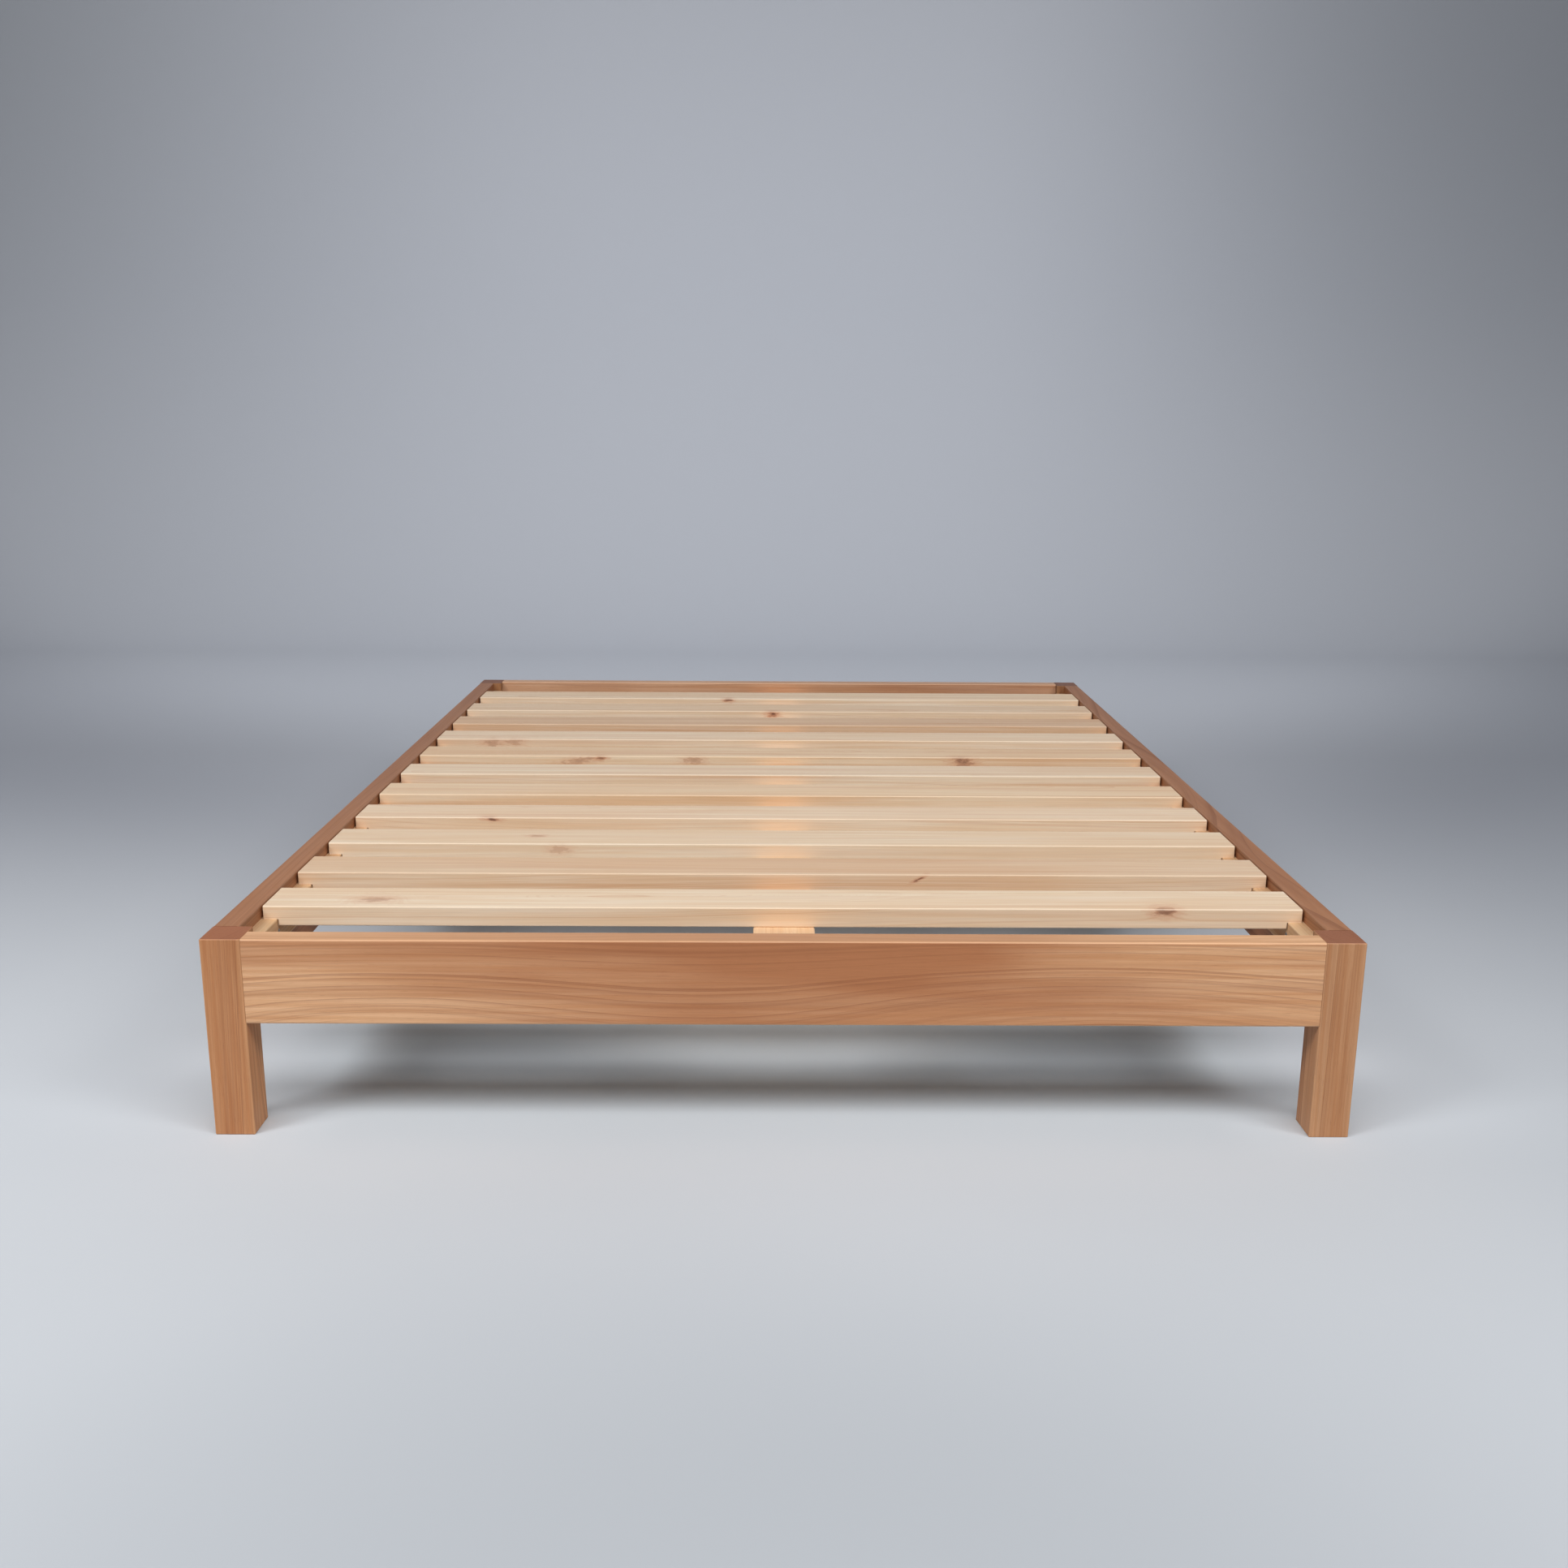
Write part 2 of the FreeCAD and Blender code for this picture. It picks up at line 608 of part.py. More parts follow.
pieces = []
for end_name, end in ENDS.items():
    pieces.append(make_end_rail(f"{end_name}_rail", end))
    pieces.append(make_saddle(f"beam_saddle_{end_name}", end))
    for side_name, side in SIDES.items():
        corner = f"{end_name}_{side_name}"
        pieces.append(make_leg(f"leg_{corner}", end, side))
        pieces.append(make_slotted_plate(f"slotted_plate_{corner}", end, side))
        pieces.append(make_hook_plate(f"hook_plate_{corner}", end, side))
for side_name, side in SIDES.items():
    pieces.append(make_side_rail(f"side_rail_{side_name}", side))
    pieces.append(make_ledger(f"ledger_{side_name}", side))
pieces.append(make_centre_beam("centre_beam"))
pieces.append(make_centre_leg("centre_leg"))
pieces.append(make_stud("centre_leg_stud"))
for place_in_row in range(slat_count):
    pieces.append(make_slat(f"slat_{place_in_row + 1:02d}", place_in_row))

wood_screw = make_screw("wood_screw", size.wood_screw_length)
plate_screw = make_screw("plate_screw", size.plate_screw_length)
pieces.append(make_screw_group("ledger_screws", wood_screw, ledger_screw_seats()))
pieces.append(make_screw_group("saddle_screws", wood_screw, saddle_screw_seats()))
pieces.append(make_screw_group("plate_screws", plate_screw, plate_screw_seats()))
doc.recompute()

for item in doc.Objects:
    if {"Invalid", "Error"} & set(item.State):
        raise RuntimeError(f"{item.Label} did not compute: {item.State}")
for piece in pieces:
    if piece.Shape.isNull() or not piece.Shape.isValid():
        raise RuntimeError(f"{piece.Label} has no valid shape")

os.makedirs("parts", exist_ok=True)
for piece in pieces:
    piece.Shape.exportStep(f"parts/{piece.Label}.step")
print(len(pieces), "sub-parts,", sum(len(piece.Shape.Solids) for piece in pieces), "solids")
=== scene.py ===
import math
import random
from dataclasses import dataclass, replace

import bmesh
import bpy
from mathutils import Matrix, Vector


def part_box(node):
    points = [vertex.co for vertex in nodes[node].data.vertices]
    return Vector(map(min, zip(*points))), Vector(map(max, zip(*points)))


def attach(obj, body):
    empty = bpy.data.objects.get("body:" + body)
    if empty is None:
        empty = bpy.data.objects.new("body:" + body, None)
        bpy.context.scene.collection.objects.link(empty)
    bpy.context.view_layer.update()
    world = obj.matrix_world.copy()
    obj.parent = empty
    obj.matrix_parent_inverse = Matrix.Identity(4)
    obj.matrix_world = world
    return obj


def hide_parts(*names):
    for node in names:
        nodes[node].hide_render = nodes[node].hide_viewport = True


# Slatted platform bed: finishes, screws, studio and camera, in metres.
# X runs across the bed, Y from the foot end to the head end, Z up.
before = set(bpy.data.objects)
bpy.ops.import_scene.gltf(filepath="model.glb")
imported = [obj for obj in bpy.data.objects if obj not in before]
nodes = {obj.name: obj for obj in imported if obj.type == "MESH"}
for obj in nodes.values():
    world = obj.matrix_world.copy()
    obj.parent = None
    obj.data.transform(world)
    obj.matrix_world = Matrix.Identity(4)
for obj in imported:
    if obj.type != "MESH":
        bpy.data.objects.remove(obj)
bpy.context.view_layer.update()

ENDS = ("foot", "head")
SIDES = ("left", "right")
SLATS = sorted(name for name in nodes if name.startswith("slat_"))
AXES = {"X": 0, "Y": 1, "Z": 2}


def tone(red, green, blue):
    """A colour written as 0 to 255 screen values, as the linear colour that a shader takes."""
    shares = [value / 255 for value in (red, green, blue)]
    linear = [s / 12.92 if s <= 0.04045 else ((s + 0.055) / 1.055) ** 2.4 for s in shares]
    return (*linear, 1.0)


class Finish:
    """A material, with short ways to add its nodes and join them."""

    def __init__(self, name):
        self.material = bpy.data.materials.new(name)
        self.material.use_nodes = True
        self.tree = self.material.node_tree
        self.shader = self.tree.nodes["Principled BSDF"]

    def put(self, socket, value):
        """Joins another node's output to the socket, or sets it to a plain value."""
        if isinstance(value, bpy.types.NodeSocket):
            self.tree.links.new(value, socket)
        else:
            socket.default_value = value

    def node(self, kind, inputs=(), **settings):
        made = self.tree.nodes.new(f"ShaderNode{kind}")
        for name, value in settings.items():
            setattr(made, name, value)
        for name, value in dict(inputs).items():
            self.put(made.inputs[name], value)
        return made

    def math(self, operation, first, second=0.0, third=0.0):
        return self.node("Math", {0: first, 1: second, 2: third}, operation=operation).outputs[0]

    def vector(self, operation, first, second):
        return self.node("VectorMath", {0: first, 1: second}, operation=operation).outputs["Vector"]

    def split(self, vector):
        return self.node("SeparateXYZ", {0: vector}).outputs

    def length(self, *parts):
        """The length of a vector with these parts."""
        total = self.math("MULTIPLY", parts[0], parts[0])
        for part in parts[1:]:
            total = self.math("MULTIPLY_ADD", part, part, total)
        return self.math("SQRT", total)

    def fade(self, value, start, end, low=0.0, high=1.0):
        """A smooth step: low where value is at start, high where it is at end."""
        ends = {"From Min": start, "From Max": end, "To Min": low, "To Max": high}
        made = self.node("MapRange", {"Value": value, **ends}, interpolation_type="SMOOTHSTEP")
        return made.outputs["Result"]

    def span(self, value, low, high):
        """Value from 0 to 1, spread evenly over low to high."""
        return self.node("MapRange", {"Value": value, "To Min": low, "To Max": high}).outputs["Result"]

    def noise(self, place, scale=1.0, detail=2.0, output="Fac"):
        return self.node("TexNoise", {"Vector": place, "Scale": scale, "Detail": detail}).outputs[output]

    def line_noise(self, place, detail):
        """Noise that changes in one direction."""
        return self.node("TexNoise", {"W": place, "Detail": detail}, noise_dimensions="1D").outputs["Fac"]

    def mix(self, share, first, second, blend="MIX"):
        """Two colours mixed. A Mix node keeps colours in its inputs 6 and 7 and its output 2."""
        made = self.node("Mix", {0: share, 6: first, 7: second}, data_type="RGBA", blend_type=blend)
        return made.outputs[2]

    def scale_colour(self, colour, level):
        """The colour, lighter or darker by a level around 1."""
        grey = self.node("CombineColor", {0: level, 1: level, 2: level}).outputs[0]
        return self.mix(1.0, colour, grey, "MULTIPLY")

    def ramp(self, value, stops):
        """A grey curve through stops, each a place from 0 to 1 and a level."""
        made = self.node("ValToRGB", {"Fac": value})
        points = made.color_ramp.elements
        while len(points) < len(stops):
            points.new(1.0)
        for point, (place, level) in zip(points, stops):
            point.position = place
            point.color = (level, level, level, 1.0)
        return made.outputs["Color"]

    def bump(self, height, strength, distance):
        made = self.node("Bump", {"Strength": strength, "Distance": distance, "Height": height})
        self.put(self.shader.inputs["Normal"], made.outputs[0])


@dataclass
class Timber:
    """The colours and the make of one kind of wood."""
    pale: tuple
    plain: tuple
    deep: tuple
    late: tuple  # the dark end of a year's growth
    end_grain: tuple
    ring_strength: float
    fine_strength: float  # fainter lines between the years
    streak_strength: float  # long tinted bands
    pore_strength: float
    fibre: float  # how far single fibres are lighter or darker
    rough: tuple  # roughness between the lines and on them
    wear_and_highlight: float  # how far edges are made pale: partly wear, partly a painted highlight
    painted_top_light: float  # how far upward faces are made paler: painted light from above


@dataclass
class Cut:
    """How a board was sawn from its log."""
    along: str  # axis that the grain follows
    heart: tuple  # from the board's middle to the heart of the log, in the two other axes
    ring: float  # width of a year's growth
    lean: tuple = (0.0, 0.0)  # drift of the heart per metre of board
    wave: tuple = (0.0, 1.0, 0.0)  # height, length and start of a long bend in the grain
    flatten: float = 0.0  # how far the bend dies away towards the upper edge
    wander: float = 0.004  # how far the rings stray
    blush: tuple = (0.0, 0.0)  # half length and strength of a deeper middle stretch
    seed: float = 0.0


@dataclass
class Knot:
    """A branch that shows on one face of a slat."""
    along: float  # from the bed's middle
    inward: float  # from the slat's foot-side face
    down: float  # from the slat's top
    radius: float
    stretch: float = 1.8  # length along the grain, in radii
    slant: float = 0.0  # climb along the grain
    reach: float = 0.012  # how far it goes into the wood from its face
    dark: float = 1.0


@dataclass
class Pattern:
    """Noise in wood, drawn out along the grain."""
    along: float  # repeats per metre
    across: float
    detail: float
    levels: tuple = (0.0, 1.0)  # where it starts to show and where it is full


HARDWOOD = Timber(
    pale=tone(238, 192, 149), plain=tone(220, 165, 117), deep=tone(178, 116, 74), late=tone(136, 77, 44),
    end_grain=tone(172, 114, 87), ring_strength=0.80, fine_strength=0.22, streak_strength=0.16,
    pore_strength=0.30, fibre=0.13, rough=(0.42, 0.58), wear_and_highlight=0.55, painted_top_light=0.35)
PINE = Timber(
    pale=tone(243, 225, 201), plain=tone(235, 208, 175), deep=tone(224, 180, 138), late=tone(200, 138, 90),
    end_grain=tone(214, 178, 140), ring_strength=0.62, fine_strength=0.14, streak_strength=0.34,
    pore_strength=0.0, fibre=0.09, rough=(0.50, 0.68), wear_and_highlight=0.55, painted_top_light=0.25)
PALE_PINE = replace(PINE, deep=tone(234, 200, 162), ring_strength=0.42, streak_strength=0.14, painted_top_light=0.05)

UNTINTED = (1.0, 1.0, 1.0)

STRAYS = Pattern(1.6, 8.0, detail=3.0)
PATCHES = Pattern(1.3, 9.0, detail=3.0, levels=(0.35, 0.72))
BANDS = Pattern(0.9, 70.0, detail=2.0, levels=(0.48, 0.70))
STREAKS = Pattern(3.0, 150.0, detail=3.0, levels=(0.30, 0.70))
FIBRES = Pattern(14.0, 900.0, detail=2.0)
PORES = Pattern(45.0, 1500.0, detail=1.0, levels=(0.62, 0.74))
OPEN_ENDS = Pattern(20.0, 700.0, detail=1.0, levels=(0.52, 0.72))
SPECKS = Pattern(90.0, 240.0, detail=3.0)
BAND_SEED = 3.0  # sets the bands apart from the streaks

# Growth rings
LATE_WOOD = ((0.0, 0.0), (0.5, 0.08), (0.82, 0.45), (0.94, 1.0), (1.0, 0.0))  # darkness through a year
YEAR_DRIFT = 1.6  # how far years are uneven in width
DRIFT_PACE = 0.31  # how fast that changes from year to year
FAINT_YEARS = 1.6  # a power that makes faint years commoner than dark ones
FAINTEST_YEAR = 0.15
FINE_LINES = 5.0  # faint lines in a year
FINE_LEVELS = (0.45, 0.75)

# Knots, with distances in radii
KNOT_HEART = tone(106, 66, 46)
KNOT_RIM = tone(176, 122, 92)
KNOT_HALO = tone(216, 164, 130)
KNOT_RAGGED = 2.4  # how far specks break up the edges
KNOT_BEND = (3.2, 0.4)  # where rings start to bend round a knot and where they bend most
KNOT_BULGE = 0.8  # how far they bend

# Faces
WARM_SHARE = 0.55  # strength of deeper patches
UPWARD = (0.3, 0.95)  # upward part of a face's direction, where the painted top light starts and where it is full
CROSS_CUT = (0.6, 0.9)  # part of a face's direction along the grain, the same for end grain
END_GRAIN_SHARE = 0.85
OPEN_END_SHARE = 0.45
WEAR_AND_HIGHLIGHT_INSET = (0.0040, 0.0015)  # from an edge, where the pale strip of wear and painted highlight starts and where it is full
WEAR_AND_HIGHLIGHT_UNEVEN = 0.002
WORN_POLISH = 0.12  # how much smoother wear makes the wood
RING_RELIEF = 0.5  # height of rings over fibres
GRAIN_BUMP = 0.25
GRAIN_DEPTH = 0.0003


def place_in_board(f, name, cut):
    """Place in a board from its middle, along the grain and the two ways across, and its half sizes."""
    low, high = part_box(name)
    grain = AXES[cut.along]
    across = [axis for axis in range(3) if axis != grain]
    local = f.split(f.vector("SUBTRACT", f.node("TexCoord").outputs["Object"], tuple((low + high) / 2)))
    half = (high - low) / 2
    return local[grain], [local[axis] for axis in across], [half[axis] for axis in across]


def drawn_out(f, along, across, pattern, seed=0.0, output="Fac"):
    """A pattern's noise at a place in a board."""
    place = f.node("CombineXYZ", {
        "X": f.math("MULTIPLY_ADD", along, pattern.along, seed),
        "Y": f.math("MULTIPLY_ADD", across[0], pattern.across, seed),
        "Z": f.math("MULTIPLY", across[1], pattern.across),
    }).outputs[0]
    return f.noise(place, detail=pattern.detail, output=output)


def from_heart(f, along, across, half, cut):
    """Distance from the log's heart, after the log's lean, its long bend and its small wandering."""
    height, length, start = cut.wave
    turn = f.math("MULTIPLY_ADD", along, math.tau / length, start)
    share = f.math("MULTIPLY_ADD", across[1], -cut.flatten / half[1], 1.0)
    bend = f.math("MULTIPLY", f.math("SINE", turn), f.math("MULTIPLY", share, height))
    strays = f.split(drawn_out(f, along, across, STRAYS, cut.seed, "Color"))
    ways = []
    for way, heart, lean, stray in zip(across, cut.heart, cut.lean, strays):
        straight = f.math("MULTIPLY_ADD", along, -lean, f.math("SUBTRACT", way, heart))
        ways.append(f.math("MULTIPLY_ADD", f.math("SUBTRACT", stray, 0.5), cut.wander * 2, straight))
    ways[1] = f.math("SUBTRACT", ways[1], bend)
    return f.length(*ways)


def knot_distance(f, along, across, half, knot):
    """Distance from a knot's middle, in its own sizes, so that its edge is at 1."""
    run = f.math("SUBTRACT", along, knot.along)
    depth = f.math("SUBTRACT", across[0], knot.inward - half[0])
    rise = f.math("MULTIPLY_ADD", run, -knot.slant, f.math("SUBTRACT", across[1], half[1] - knot.down))
    deep, high = (knot.radius, knot.reach) if knot.down == 0 else (knot.reach, knot.radius)
    parts = ((run, knot.radius * knot.stretch), (depth, deep), (rise, high))
    return f.length(*[f.math("DIVIDE", part, size) for part, size in parts])


def growth_rings(f, radius, cut):
    """Dark lines of the years, each with its own strength, and the fainter lines between them."""
    years = f.math("DIVIDE", radius, cut.ring)
    drift = f.line_noise(f.math("MULTIPLY", years, DRIFT_PACE), detail=1.0)
    years = f.math("MULTIPLY_ADD", drift, YEAR_DRIFT, f.math("ADD", years, cut.seed))
    late = f.ramp(f.math("FRACT", years), LATE_WOOD)
    chance = f.node("TexWhiteNoise", {"W": f.math("FLOOR", years)}, noise_dimensions="1D").outputs["Value"]
    strength = f.span(f.math("POWER", chance, FAINT_YEARS), FAINTEST_YEAR, 1.0)
    fine = f.line_noise(f.math("MULTIPLY", years, FINE_LINES), detail=2.0)
    return f.math("MULTIPLY", late, strength), fine


def add_knots(f, colour, knots, distances, specks):
    """Paints each knot from its halo in to its heart, in layers with an outer and an inner edge."""
    for knot, distance in zip(knots, distances):
        ragged = f.math("MULTIPLY_ADD", f.math("SUBTRACT", specks, 0.5), KNOT_RAGGED, distance)
        layers = (
            (KNOT_HALO, 2.6, 0.8, 0.75 * knot.dark),
            (KNOT_RIM, 1.2, 0.7, 0.8 * knot.dark),
            (KNOT_HEART, 0.7, 0.2, max(0.0, 1.5 * knot.dark - 0.6)),
        )
        for layer, outer, inner, strength in layers:
            colour = f.mix(f.fade(ragged, outer, inner, 0.0, strength), colour, layer)
    return colour


def side_grain(f, along, across, timber, cut, patches, rings, fine):
    """Colour along the grain: streaks, deeper patches, tinted bands, growth lines and pores."""
    streaks = drawn_out(f, along, across, STREAKS, cut.seed)
    bands = drawn_out(f, along, across, BANDS, cut.seed + BAND_SEED)
    warm = f.fade(patches, *PATCHES.levels, 0.0, WARM_SHARE)
    blush_half, blush = cut.blush
    if blush:
        middle = f.fade(f.math("ABSOLUTE", along), blush_half, 0.1 * blush_half)
        warm = f.math("MULTIPLY_ADD", middle, blush, warm)
    colour = f.mix(f.fade(streaks, *STREAKS.levels), timber.pale, timber.plain)
    colour = f.mix(warm, colour, timber.deep)
    colour = f.mix(f.fade(bands, *BANDS.levels, 0.0, timber.streak_strength), colour, timber.late)
    colour = f.mix(f.fade(fine, *FINE_LEVELS, 0.0, timber.fine_strength), colour, timber.late)
    colour = f.mix(f.math("MULTIPLY", rings, timber.ring_strength), colour, timber.late)
    if timber.pore_strength:
        pores = drawn_out(f, along, across, PORES)
        colour = f.mix(f.fade(pores, *PORES.levels, 0.0, timber.pore_strength), colour, timber.late)
    return colour


def end_grain(f, along, across, timber, cut, rings):
    """Colour of a sawn end: open fibre ends and the rings."""
    open_ends = drawn_out(f, along, across, OPEN_ENDS, cut.seed)
    share = f.fade(open_ends, *OPEN_ENDS.levels, 0.0, OPEN_END_SHARE)
    return f.mix(rings, f.mix(share, timber.end_grain, timber.late), timber.late)


def worn_and_highlit_edges(f, across, half, timber, patches):
    """How far the long edges are made pale, in an uneven strip: partly wear, partly a painted highlight."""
    insets = [f.math("SUBTRACT", reach, f.math("ABSOLUTE", way)) for way, reach in zip(across, half)]
    inset = f.math("MULTIPLY_ADD", patches, WEAR_AND_HIGHLIGHT_UNEVEN, f.math("MAXIMUM", *insets))
    return f.fade(inset, *WEAR_AND_HIGHLIGHT_INSET, 0.0, timber.wear_and_highlight)


def wood(name, node, timber, cut, knots=(), tint=UNTINTED):
    """A board's finish: growth rings through the solid, fibres, pores, patches, edges worn pale with a
    painted highlight, painted light on upward faces, and end grain.
    """
    f = Finish(name)
    along, across, half = place_in_board(f, node, cut)
    distances = [knot_distance(f, along, across, half, knot) for knot in knots]
    radius = from_heart(f, along, across, half, cut)
    for knot, distance in zip(knots, distances):
        radius = f.math("ADD", radius, f.fade(distance, *KNOT_BEND, 0.0, knot.radius * KNOT_BULGE))
    rings, fine = growth_rings(f, radius, cut)
    patches = drawn_out(f, along, across, PATCHES, cut.seed)
    fibres = drawn_out(f, along, across, FIBRES, cut.seed)

    colour = side_grain(f, along, across, timber, cut, patches, rings, fine)
    if knots:
        specks = drawn_out(f, along, across, SPECKS, cut.seed)
        colour = add_knots(f, colour, knots, distances, specks)
    facing = f.split(f.node("NewGeometry").outputs["True Normal"])
    # painted light: faces that look up are made paler
    colour = f.mix(f.fade(facing[AXES["Z"]], *UPWARD, 0.0, timber.painted_top_light), colour, timber.pale)
    cross_cut = f.fade(f.math("ABSOLUTE", facing[AXES[cut.along]]), *CROSS_CUT, 0.0, END_GRAIN_SHARE)
    colour = f.mix(cross_cut, colour, end_grain(f, along, across, timber, cut, rings))
    # edges pale from wear and from a painted highlight
    wear_and_highlight_mask = worn_and_highlit_edges(f, across, half, timber, patches)
    colour = f.mix(wear_and_highlight_mask, colour, timber.pale)
    colour = f.scale_colour(colour, f.span(fibres, 1 - timber.fibre, 1 + timber.fibre))
    f.put(f.shader.inputs["Base Color"], f.mix(1.0, colour, (*tint, 1.0), "MULTIPLY"))

    grain = f.math("MULTIPLY_ADD", rings, RING_RELIEF, fibres)
    roughness = f.math("MULTIPLY_ADD", wear_and_highlight_mask, -WORN_POLISH, f.span(grain, *timber.rough))
    f.put(f.shader.inputs["Roughness"], roughness)
    f.bump(grain, GRAIN_BUMP, GRAIN_DEPTH)
    return f.material


ZINC_TONES = (tone(176, 180, 184), tone(206, 207, 204))
ZINC_BLOTCHES = (0.35, 0.7)  # noise where the paler zinc starts to show and where it is full
ZINC_ROUGHNESS = (0.28, 0.48)
ROLLING_SQUEEZE = (1.0, 1.0, 14.0)  # rolling lines lie close together going up


def steel(name):
    """Zinc-plated steel: a grey metal with faint blotches and rolling lines."""
    f = Finish(name)
    place = f.node("TexCoord").outputs["Object"]
    blotches = f.noise(place, scale=90.0, detail=3.0)
    lines = f.noise(f.vector("MULTIPLY", place, ROLLING_SQUEEZE), scale=120.0)
    f.put(f.shader.inputs["Base Color"], f.mix(f.fade(blotches, *ZINC_BLOTCHES), *ZINC_TONES))
    f.put(f.shader.inputs["Metallic"], 1.0)
    f.put(f.shader.inputs["Roughness"], f.span(lines, *ZINC_ROUGHNESS))
    f.bump(lines, strength=0.1, distance=0.0002)
    return f.material


def dress(name, material):
    for held in nodes[name].material_slots:
        held.material = material


# Hardwood legs and rails
LEG_HEARTS = {
    "foot_left": (-0.14, 0.05), "foot_right": (0.16, 0.06),
    "head_left": (-0.12, -0.09), "head_right": (0.11, 0.08)}
# the head legs are tinted much darker than the foot legs: painted shade
LEG_TINTS_WITH_PAINTED_SHADE = {
    "foot_left": (0.78, 0.65, 0.52), "foot_right": (0.66, 0.56, 0.48),
    "head_left": (0.48, 0.40, 0.32), "head_right": (0.44, 0.37, 0.31)}
# the side rails take a much darker tint than the foot rail: painted shade
SIDE_RAIL_SHADED_TINT = (0.51, 0.395, 0.345)
END_RAIL_TINTS = {"foot": UNTINTED, "head": (0.88, 0.90, 1.0)}
END_RAIL_CUTS = {
    "foot": Cut(
        "X", heart=(0.11, -0.15), ring=0.0095, lean=(-0.04, -0.02), wave=(0.015, 1.02, -1.0), flatten=0.65,
        blush=(0.75, 0.75), seed=11.0),
    "head": Cut(
        "X", heart=(-0.06, 0.19), ring=0.0085, lean=(0.03, 0.012), wave=(0.008, 1.20, 0.6),
        blush=(0.60, 0.30), seed=23.0),
}
SIDE_RAIL_CUTS = {
    "left": Cut(
        "Y", heart=(0.09, 0.16), ring=0.0080, lean=(0.01, 0.02), wave=(0.009, 1.3, 0.4), seed=31.0),
    "right": Cut(
        "Y", heart=(-0.08, -0.18), ring=0.0085, lean=(-0.02, 0.01), wave=(0.010, 1.1, 2.1), seed=47.0),
}


def dress_hardwood():
    for count, (corner, heart) in enumerate(LEG_HEARTS.items()):
        name = f"leg_{corner}"
        cut = Cut("Z", heart, ring=0.0060, lean=(0.02, -0.03), wander=0.003, seed=3.1 + 7.7 * count)
        dress(name, wood(f"hardwood_{name}", name, HARDWOOD, cut, tint=LEG_TINTS_WITH_PAINTED_SHADE[corner]))
    for end, cut in END_RAIL_CUTS.items():
        name = f"{end}_rail"
        dress(name, wood(f"hardwood_{name}", name, HARDWOOD, cut, tint=END_RAIL_TINTS[end]))
    for side, cut in SIDE_RAIL_CUTS.items():
        name = f"side_rail_{side}"
        dress(name, wood(f"hardwood_{name}", name, HARDWOOD, cut, tint=SIDE_RAIL_SHADED_TINT))


# Pine slats, ledgers, beam, saddles and centre leg
RUDDY = (0.90, 0.84, 0.79)
GOLDEN = (0.96, 0.90, 0.83)
TAN = (0.84, 0.74, 0.67)
ROSY = (0.95, 0.92, 0.90)
SLAT_TINTS = {"slat_02": RUDDY, "slat_05": GOLDEN, "slat_07": GOLDEN, "slat_09": TAN, "slat_10": ROSY}
PALE_SLATS = ("slat_01", "slat_03", "slat_10", "slat_11")
SLAT_SEED = 5
LEDGER_TINT = (0.76, 0.62, 0.47)
BEAM_TINT = (0.93, 0.82, 0.69)
SLAT_KNOTS = {
    "slat_01": [
        Knot(-0.605, 0.034, 0.0, 0.012, stretch=1.9, dark=0.5),
        Knot(0.560, 0.0, 0.004, 0.007, stretch=2.2, reach=0.014, dark=0.75)],
    "slat_02": [Knot(0.214, 0.0, 0.007, 0.0022, stretch=4.0, slant=0.5, dark=0.9)],
    "slat_03": [
        Knot(-0.420, 0.048, 0.0, 0.006, stretch=2.0, dark=0.5),
        Knot(-0.374, 0.0, 0.010, 0.006, stretch=2.4, dark=0.4)],
    "slat_04": [Knot(-0.519, 0.0, 0.003, 0.003, stretch=4.0, slant=-0.1, dark=0.9)],
    "slat_07": [
        Knot(-0.380, 0.0, 0.005, 0.0040, stretch=2.4, dark=0.9),
        Knot(-0.425, 0.0, 0.010, 0.0065, stretch=4.6, slant=0.14, dark=0.5),
        Knot(-0.184, 0.0, 0.009, 0.0075, stretch=2.4, dark=0.5),
        Knot(0.385, 0.0, 0.009, 0.0110, stretch=1.9, slant=-0.2, dark=0.72)],
    "slat_08": [
        Knot(-0.640, 0.0, 0.008, 0.009, stretch=1.8, dark=0.5),
        Knot(-0.590, 0.0, 0.006, 0.007, stretch=2.4, dark=0.45)],
    "slat_10": [Knot(-0.018, 0.0, 0.007, 0.006, stretch=2.0)],
    "slat_11": [Knot(-0.131, 0.0, 0.004, 0.004, stretch=2.6)],
}


def dress_slats():
    """Each slat is sawn from a log of its own, drawn by chance from a fixed seed."""
    draw = random.Random(SLAT_SEED)
    for count, name in enumerate(SLATS):
        heart = (draw.uniform(-0.06, 0.06), draw.choice((-1, 1)) * draw.uniform(0.06, 0.12))
        lean = (draw.uniform(-0.03, 0.03), draw.uniform(-0.015, 0.015))
        wave = (0.004, 1.1, draw.uniform(0.0, math.tau))
        ring = draw.uniform(0.0045, 0.0065)
        shade = draw.uniform(0.96, 1.0)
        cut = Cut("X", heart, ring, lean, wave, wander=0.006, seed=5.3 * count)
        tint = tuple(shade * part for part in SLAT_TINTS.get(name, UNTINTED))
        timber = PALE_PINE if name in PALE_SLATS else PINE
        dress(name, wood(f"pine_{name}", name, timber, cut, SLAT_KNOTS.get(name, ()), tint))


